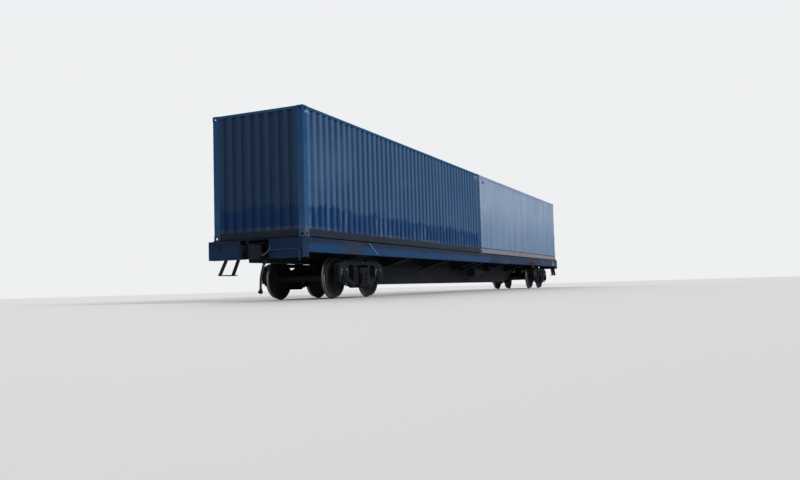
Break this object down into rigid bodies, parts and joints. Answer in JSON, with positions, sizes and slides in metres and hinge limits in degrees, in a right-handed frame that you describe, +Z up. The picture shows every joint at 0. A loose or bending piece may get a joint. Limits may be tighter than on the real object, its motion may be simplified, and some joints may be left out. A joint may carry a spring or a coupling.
{
  "type": "container flatcar with two containers",
  "caption": "Long railway flatcar on two-axle bogies carrying two high-cube containers, with doors that open.",
  "frame": {"origin": "under the middle of the car, level with the lowest points of the wheel flanges", "axes": "+X along the car to its far end, where the white container's doors are; +Y across; +Z up"},
  "size_m": [25.5554, 2.726, 4.2889],
  "materials": {
    "frame_blue": "weathered satin",
    "blue_paint": "chalky satin",
    "blue_rail_paint": "dirty satin",
    "white_paint": "chalky satin",
    "white_rail_paint": "dirty satin",
    "floor_boards": "worn ply",
    "cast_dark": "matte, dusty",
    "brake_black": "matte, dusty",
    "wheel_steel": "rusty with bright treads",
    "axle_steel": "rusty, dusty",
    "spring_steel": "dull, dusty",
    "red_paint": "worn gloss",
    "rail_grey": "worn satin",
    "hose_rubber": "matte, dusty"
  },
  "bodies": {
    "flatcar": {"air_distributor": "brake_black", "air_reservoir": "brake_black", "blue_base_rails": "blue_rail_paint", "blue_corner_posts": "blue_paint", "blue_doors": "blue_paint", "blue_floor": "floor_boards", "blue_front_wall": "blue_paint", "blue_roof": "blue_paint", "blue_side_walls": "blue_paint", "blue_top_frame": "blue_paint", "body_bolsters": "frame_blue", "brake_cylinder": "brake_black", "brake_pipe": "brake_black", "brake_rods": "brake_black", "centre_plates": "cast_dark", "centre_sill": "frame_blue", "container_stops": "frame_blue", "cross_bearers": "frame_blue", "draft_sills": "frame_blue", "end_sills": "frame_blue", "end_steps": "frame_blue", "grab_rails": "rail_grey", "hand_brake": "red_paint", "hose_far": "hose_rubber", "hose_heads": "cast_dark", "hose_near": "hose_rubber", "side_sill_far": "frame_blue", "side_sill_near": "frame_blue", "strikers": "cast_dark", "uncoupling_levers": "rail_grey", "white_base_rails": "white_rail_paint", "white_corner_posts": "white_paint", "white_floor": "floor_boards", "white_front_wall": "white_paint", "white_roof": "white_paint", "white_side_walls": "white_paint", "white_top_frame": "white_paint"},
    "near_bogie": {"near_bogie_bearing_boxes": "cast_dark", "near_bogie_bolster": "cast_dark", "near_bogie_brake_beams": "cast_dark", "near_bogie_side_frames": "cast_dark", "near_bogie_springs": "spring_steel"},
    "near_bogie_wheelset_outer": {"near_bogie_axle_outer": "axle_steel", "near_bogie_wheels_outer": "wheel_steel"},
    "near_bogie_wheelset_inner": {"near_bogie_axle_inner": "axle_steel", "near_bogie_wheels_inner": "wheel_steel"},
    "far_bogie": {"far_bogie_bearing_boxes": "cast_dark", "far_bogie_bolster": "cast_dark", "far_bogie_brake_beams": "cast_dark", "far_bogie_side_frames": "cast_dark", "far_bogie_springs": "spring_steel"},
    "far_bogie_wheelset_outer": {"far_bogie_axle_outer": "axle_steel", "far_bogie_wheels_outer": "wheel_steel"},
    "far_bogie_wheelset_inner": {"far_bogie_axle_inner": "axle_steel", "far_bogie_wheels_inner": "wheel_steel"},
    "coupler_near": {"coupler_near": "cast_dark"},
    "coupler_far": {"coupler_far": "cast_dark"},
    "white_door_near_side": {"white_door_near_side": "white_paint"},
    "white_door_far_side": {"white_door_far_side": "white_paint"}
  },
  "joints": [
    {"name": "near_bogie_turn", "type": "hinge", "parent": "flatcar", "child": "near_bogie", "pos_m": [-9.35, 0, 0.84], "axis": [0, 0, 1], "range_deg": [-6, 6]},
    {"name": "near_bogie_wheelset_outer_spin", "type": "hinge", "parent": "near_bogie", "child": "near_bogie_wheelset_outer", "pos_m": [-10.275, 0, 0.5065], "axis": [0, 1, 0], "continuous": true},
    {"name": "near_bogie_wheelset_inner_spin", "type": "hinge", "parent": "near_bogie", "child": "near_bogie_wheelset_inner", "pos_m": [-8.425, 0, 0.5065], "axis": [0, 1, 0], "continuous": true},
    {"name": "far_bogie_turn", "type": "hinge", "parent": "flatcar", "child": "far_bogie", "pos_m": [9.35, 0, 0.84], "axis": [0, 0, 1], "range_deg": [-6, 6]},
    {"name": "far_bogie_wheelset_outer_spin", "type": "hinge", "parent": "far_bogie", "child": "far_bogie_wheelset_outer", "pos_m": [10.275, 0, 0.5065], "axis": [0, 1, 0], "continuous": true},
    {"name": "far_bogie_wheelset_inner_spin", "type": "hinge", "parent": "far_bogie", "child": "far_bogie_wheelset_inner", "pos_m": [8.425, 0, 0.5065], "axis": [0, 1, 0], "continuous": true},
    {"name": "coupler_near_swing", "type": "hinge", "parent": "flatcar", "child": "coupler_near", "pos_m": [-11.45, 0, 1.088], "axis": [0, 0, 1], "range_deg": [-8, 8]},
    {"name": "coupler_far_swing", "type": "hinge", "parent": "flatcar", "child": "coupler_far", "pos_m": [11.45, 0, 1.088], "axis": [0, 0, 1], "range_deg": [-8, 8]},
    {"name": "white_door_near_side_swing", "type": "hinge", "parent": "flatcar", "child": "white_door_near_side", "pos_m": [12.225, -1.207, 1.5], "axis": [0, 0, -1], "range_deg": [0, 270]},
    {"name": "white_door_far_side_swing", "type": "hinge", "parent": "flatcar", "child": "white_door_far_side", "pos_m": [12.225, 1.207, 1.5], "axis": [0, 0, 1], "range_deg": [0, 270]}
  ]
}
